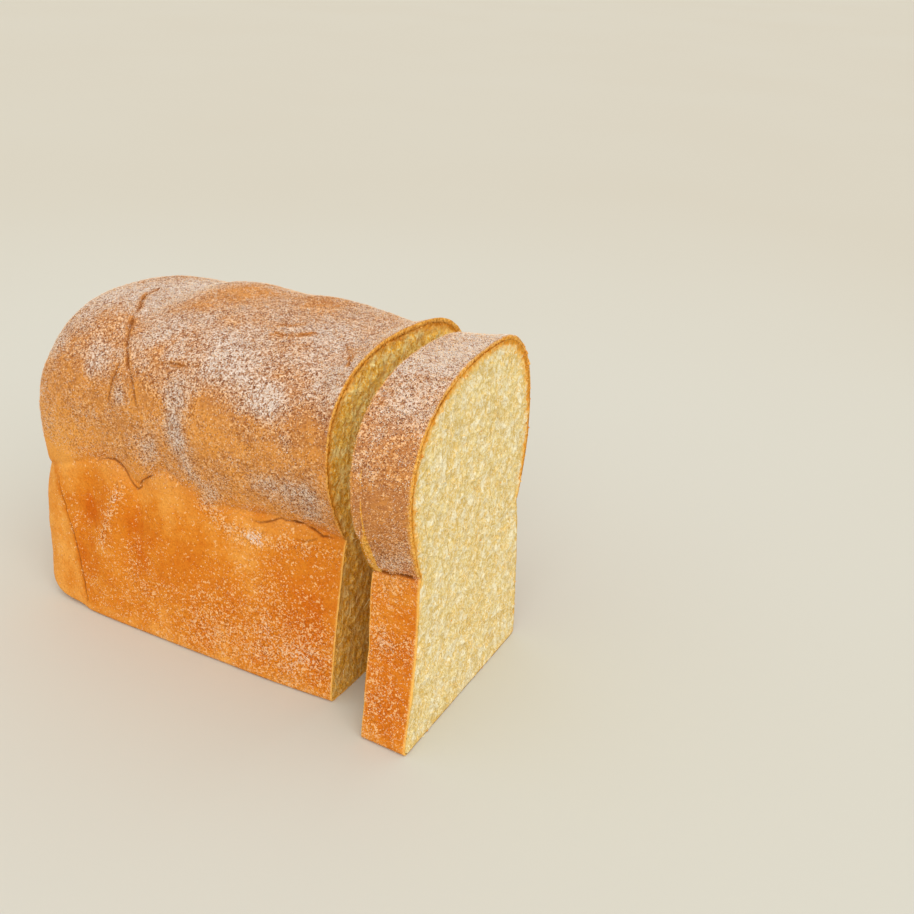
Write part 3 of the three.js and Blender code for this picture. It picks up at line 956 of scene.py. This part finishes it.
def crust_material(specks, flecks):
    """Baked crust under floury flecks, with painted shade in its cracks and between its grains and painted light on its
    grains.
    """
    made, tree, shader, coords = start_material("crust", 0.8, 0.06)
    bake, dust, rim, crack, dome = (value_of(tree, name) for name in ("bake", "dust", "rim", "crack", "dome"))
    fine = use_group(tree, specks, Vector=coords, Size=0.7 * MM)
    mid = use_group(tree, specks, Vector=coords, Size=2.2 * MM)
    fleck = use_group(tree, flecks, Vector=coords, Size=0.56 * MM)
    blotch = spread(tree, mottle(tree, coords, 7 * MM, 3.0, 0.6), 0.3, 0.7, -0.09, 0.09)
    baked = maths(tree, "ADD", maths(tree, "ADD", bake, blotch), maths(tree, "MULTIPLY", mid["Dark"], 0.08))
    colour = blend(tree, dome, ramp(tree, baked, WALL_STOPS), ramp(tree, baked, DOME_STOPS))
    colour = blend(tree, maths(tree, "MULTIPLY", spread(tree, dust, 0.29, 0.7, 0.0, 0.9), dome), colour, VEIL)
    shown = spread(tree, dust, 0.08, 0.55, 0.3, 1.0)
    shown = maths(tree, "MULTIPLY", shown, spread(tree, dome, 0.0, 1.0, 0.7, 1.0))
    # Painted micro-shade and light of the grains, with random tone, multiplied in where the crust is dusted
    speck_shade = ramp(tree, fleck["Mark"], SPECK_SHADE_STOPS)
    colour = blend(tree, shown, colour, speck_shade, "MULTIPLY")
    drift = spread(tree, mottle(tree, coords, 3 * MM, 2.0, 0.6), 0.3, 0.7, -0.08, 0.08)
    chance = maths(tree, "ADD", maths(tree, "ADD", fleck["Chance"], drift), maths(tree, "MULTIPLY", dust, FLOUR_SHARE))
    chance = maths(tree, "ADD", chance, spread(tree, dome, 0.0, 1.0, 0.05, 0.0))
    full = spread(tree, fleck["Tone"], 0.0, 1.0, 0.55, 1.0)
    flour = maths(tree, "MULTIPLY", spread(tree, chance, 1.05, 1.15), full)
    flour_colour = blend(tree, spread(tree, dust, 0.3, 0.75), THIN_FLOUR, THICK_FLOUR)
    colour = blend(tree, flour, colour, flour_colour)
    # Painted shade in the pits between grains, the low spots of the fine bump
    pit_shade = maths(tree, "MULTIPLY", fine["Dark"], maths(tree, "MULTIPLY", shown, 0.35))
    colour = blend(tree, pit_shade, colour, PIT_SHADE)
    # Painted shade in the grooves of the cracks
    colour = blend(tree, maths(tree, "MULTIPLY", crack, 0.85), colour, CRACK_SHADE)
    rough_rim = spread(tree, mottle(tree, coords, 1.1 * MM, 2.0, 0.7), 0.38, 0.6)
    golden = maths(tree, "ADD", rough_rim, spread(tree, dome, 1.0, 0.3, 0.0, 0.7), clamp=True)
    rim_colour = blend(tree, golden, RIM_BROWN, RIM_GOLD)
    scorch = maths(tree, "MULTIPLY", spread(tree, mottle(tree, coords, 0.9 * MM, 2.0, 0.7), 0.52, 0.62), dome)
    rim_colour = blend(tree, maths(tree, "MULTIPLY", scorch, 0.7), rim_colour, SCORCH)
    colour = blend(tree, rim, colour, rim_colour)
    tree.links.new(colour, shader.inputs["Base Color"])
    tree.links.new(spread(tree, dust, 0.0, 1.0, 0.7, 0.95), shader.inputs["Roughness"])
    bump(tree, shader, maths(tree, "ADD", fine["Height"], mid["Height"]), 0.6, 0.6 * MM)
    return made


def crumb_material(name, pale, gold, shade_and_streak_colour, cream_and_highlight, specks, deep_shade=None):
    """Soft open crumb: gold by the crust, pale inside, with painted shade in its pores, streaks of painted shade and
    painted highlight along its fibres, fine torn fibres, and, given a deep shade, painted shade towards the bottom.
    """
    made, tree, shader, coords = start_material(name, 0.9, 0.06)
    depth, well = value_of(tree, "depth"), value_of(tree, "well")
    fine = use_group(tree, specks, Vector=coords, Size=0.7 * MM)
    warped = put(tree, "TexNoise", {"Vector": coords, "Scale": 1 / (8 * MM), "Detail": 1.0}).outputs["Color"]
    swirl = put(tree, "VectorMath", {0: warped, 1: (5 * MM, 5 * MM, 2 * MM)}, operation="MULTIPLY").outputs[0]
    along = put(tree, "VectorMath", {0: coords, 1: swirl}, operation="ADD").outputs[0]
    long_way = put(tree, "Mapping", {"Vector": along, "Scale": (1.0, 1.0, 0.62)}).outputs[0]
    fibre = mottle(tree, long_way, 0.95 * MM, 3.0, 0.65)
    ragged = maths(tree, "ADD", depth, spread(tree, mottle(tree, coords, 1.8 * MM, 3.0, 0.6), 0.25, 0.75, -0.07, 0.07))
    colour = ramp(tree, ragged, [(0.15, RIM_BROWN[:3]), (0.27, RIM_GOLD[:3]), (0.42, gold), (0.62, pale)])
    inner = spread(tree, ragged, 0.16, 0.42)
    scorch = maths(tree, "MULTIPLY", spread(tree, mottle(tree, coords, 0.9 * MM, 2.0, 0.7), 0.5, 0.62), 0.7)
    colour = blend(tree, maths(tree, "MULTIPLY", spread(tree, ragged, 0.24, 0.12), scorch), colour, SCORCH)
    blotch = spread(tree, mottle(tree, coords, 6 * MM, 3.0, 0.65), 0.44, 0.6, 0.0, 0.75)
    colour = blend(tree, maths(tree, "MULTIPLY", blotch, inner), colour, gold + (1,))
    cream = spread(tree, mottle(tree, along, 5.5 * MM, 3.0, 0.6), 0.5, 0.6, 0.0, 0.85)
    colour = blend(tree, maths(tree, "MULTIPLY", cream, inner), colour, cream_and_highlight + (1,))
    # Painted shade deep in the pores
    pore_shade = maths(tree, "MULTIPLY", spread(tree, well, 0.35, 1.1, 0.0, 0.65), inner)
    colour = blend(tree, pore_shade, colour, shade_and_streak_colour + (1,))
    # Darker streaks in the lows of the fibre bump: olive crumb and painted shade
    dark = maths(tree, "MULTIPLY", spread(tree, fibre, 0.48, 0.36, 0.0, 0.6), inner)
    colour = blend(tree, dark, colour, shade_and_streak_colour + (1,))
    # Paler streaks on the highs of the fibre bump: pale crumb and painted highlight
    light = maths(tree, "MULTIPLY", spread(tree, fibre, 0.52, 0.64, 0.0, 0.7), inner)
    colour = blend(tree, light, colour, cream_and_highlight + (1,))
    # Fine specks: painted highlight on the highs of the fine bump, darker crumb and painted shade in its lows
    colour = blend(tree, maths(tree, "MULTIPLY", fine["Light"], maths(tree, "MULTIPLY", inner, 0.4)), colour, cream_and_highlight + (1,))
    colour = blend(tree, maths(tree, "MULTIPLY", fine["Dark"], 0.35), colour, shade_and_streak_colour + (1,))
    # Painted shade: darker towards the bottom of the gap
    if deep_shade:
        height = put(tree, "SeparateXYZ", {"Vector": coords}).outputs["Z"]
        colour = blend(tree, spread(tree, height, 120 * MM, 40 * MM, 0.0, 0.45), colour, deep_shade + (1,))
    tree.links.new(colour, shader.inputs["Base Color"])
    tree.links.new(spread(tree, well, 0.0, 1.0, 0.8, 0.95), shader.inputs["Roughness"])
    bump(tree, shader, maths(tree, "ADD", fine["Height"], fibre), 0.8, 0.6 * MM)
    return made


def loose_material():
    """Loose crumbs and torn fibres, from baked gold to pale."""
    made, tree, shader, coords = start_material("loose crumb", 0.9, 0.06)
    tone = value_of(tree, "tone")
    fleck = spread(tree, mottle(tree, coords, 0.5 * MM), 0.3, 0.7, -0.15, 0.15)
    stops = [(0.0, (0.66, 0.25, 0.03)), (0.3, (0.86, 0.47, 0.11)), (0.6, (0.88, 0.66, 0.26)), (1.0, (0.93, 0.82, 0.52))]
    tree.links.new(ramp(tree, maths(tree, "ADD", tone, fleck), stops), shader.inputs["Base Color"])
    return made


GRAIN_STOPS = [(0.0, (0.98, 0.56, 0.23)), (0.35, (0.97, 0.69, 0.41)), (0.7, (0.94, 0.80, 0.67)), (1.0, (1.0, 0.95, 0.89))]


def grain_material():
    """White to cream grains of the dusting."""
    made, tree, shader, coords = start_material("semolina", 0.6, 0.15)
    tone = value_of(tree, "tone")
    colour = ramp(tree, tone, GRAIN_STOPS)
    tree.links.new(colour, shader.inputs["Base Color"])
    tree.links.new(spread(tree, mottle(tree, coords, 0.3 * MM), 0.3, 0.7, 0.45, 0.75), shader.inputs["Roughness"])
    return made


def floor_material():
    """Plain pale warm paper with a painted pool of light: lighter and a little cooler round the middle, darker and
    warmer further out.
    """
    made, tree, shader, coords = start_material("plain floor", 0.9, 0.1)
    far = put(tree, "VectorMath", {0: coords}, operation="LENGTH").outputs["Value"]
    # Painted light: lighter round the middle, fading outwards
    shade = spread(tree, far, 0.25, 0.9, 0.85, 0.1)
    shade = maths(tree, "ADD", shade, spread(tree, mottle(tree, coords, 400 * MM), 0.2, 0.8, -0.1, 0.1))
    colour = blend(tree, shade, (0.60, 0.56, 0.47, 1), (0.63, 0.615, 0.545, 1))
    tree.links.new(colour, shader.inputs["Base Color"])
    return made


# Floor, light and camera

FLOOR_SIDE = 14.0
SKY = 0.9
LIGHT_FROM = (0.6, -0.7, 0.9)
LIGHT_SPREAD = math.radians(60)
LIGHT_POWER = 1.3
CAMERA_PLACE = (0.27699, -0.35348, 0.29122)
CAMERA_TURN = math.radians(28.15)
CAMERA_DIP = math.radians(25.67)
CAMERA_ROLL = math.radians(3.04)
CAMERA_LENS = 46.98
CAMERA_SENSOR = 36


def set_stage():
    """The floor, the soft lights and the camera."""
    bpy.ops.mesh.primitive_plane_add(size=FLOOR_SIDE)
    floor = bpy.context.object
    floor.name = "floor"
    floor.data.materials.append(floor_material())
    world = bpy.data.worlds.new("pale room")
    bpy.context.scene.world = world
    world.use_nodes = True
    sky = world.node_tree.nodes["Background"]
    sky.inputs["Color"].default_value = (1.0, 0.99, 0.96, 1)
    sky.inputs["Strength"].default_value = SKY
    bpy.ops.object.light_add(type="SUN")
    lamp = bpy.context.object
    lamp.name = "soft light from above"
    lamp.data.angle = LIGHT_SPREAD
    lamp.data.energy = LIGHT_POWER
    lamp.data.color = (1.0, 0.975, 0.94)
    lamp.rotation_euler = (-Vector(LIGHT_FROM)).to_track_quat("-Z", "Y").to_euler()
    bpy.ops.object.camera_add(location=CAMERA_PLACE)
    camera = bpy.context.object
    turn = Matrix.Rotation(CAMERA_TURN, 3, "Z") @ Matrix.Rotation(math.pi / 2 - CAMERA_DIP, 3, "X")
    camera.rotation_euler = (turn @ Matrix.Rotation(CAMERA_ROLL, 3, "Z")).to_euler()
    camera.data.lens = CAMERA_LENS
    camera.data.sensor_width = CAMERA_SENSOR
    camera.data.clip_start = 0.01
    bpy.context.scene.camera = camera
    bpy.context.scene.view_settings.view_transform = "Standard"


def dress(piece, node, material):
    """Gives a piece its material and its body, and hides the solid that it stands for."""
    piece.data.materials.append(material)
    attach(piece, "root")
    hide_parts(node)


def main():
    """Makes every piece and the stage."""
    specks = speckle_group()
    crust = crust_material(specks, fleck_group())
    crumb = crumb_material("crumb", (0.89, 0.72, 0.34), (0.90, 0.62, 0.20), (0.62, 0.42, 0.11), (0.97, 0.90, 0.66), specks)
    # A copy of the crumb with painted shade for the gap between loaf and slice: deeper, more saturated gold for its dim
    # bounced light, and darker towards the bottom
    shaded = crumb_material("crumb with painted shade in the gap", (1.0, 0.74, 0.20), (1.0, 0.56, 0.06), (0.64, 0.30, 0.02),
                            (1.0, 0.92, 0.48), specks, (0.72, 0.30, 0.004))
    semolina = grain_material()
    loose = loose_material()

    loaf, loaf_rings = loaf_crust()
    dress(loaf, "loaf", crust)
    band, slice_rings = slice_crust()
    dress(band, "slice", crust)

    gap_face = crumb_face("loaf_crumb", loaf_rings[0], (1, 0, 0), 0.55 * MM, 51, 1.2)
    dress(gap_face, "loaf", shaded)
    back_face = crumb_face("slice_crumb_back", slice_rings[0], (-1, 0, 0), 0.55 * MM, 52)
    dress(back_face, "slice", shaded)
    front_face = crumb_face("slice_crumb_front", slice_rings[1], (1, 0, 0), 0.4 * MM, 53)
    dress(front_face, "slice", crumb)

    dress(dusting("loaf_grains", loaf, WEDGE, 30000, 0.3, 0.58, 0.5, 61), "loaf", semolina)
    dress(dusting("loaf_fine_grains", loaf, CHIP, 49500, 0.22, 0.4, 0.4, 62), "loaf", semolina)
    dress(dusting("slice_grains", band, WEDGE, 8500, 0.3, 0.58, 0.4, 63), "slice", semolina)
    dress(dusting("slice_fine_grains", band, CHIP, 15000, 0.22, 0.4, 0.35, 64), "slice", semolina)
    dress(loose_crumbs("loaf_loose_crumbs", [(gap_face, 700)], 65), "loaf", loose)
    dress(loose_crumbs("slice_loose_crumbs", [(front_face, 1400), (back_face, 700)], 66), "slice", loose)
    dress(strands("loaf_fibres", gap_face, 200, 2, 8, 0.8, 67), "loaf", loose)
    dress(strands("slice_fibres", front_face, 600, 1.2, 4.5, 1.0, 68), "slice", loose)
    dress(torn_crust("slice_torn_crust", slice_rings[1], 106, 136, 34, 69), "slice", loose)
    set_stage()


main()
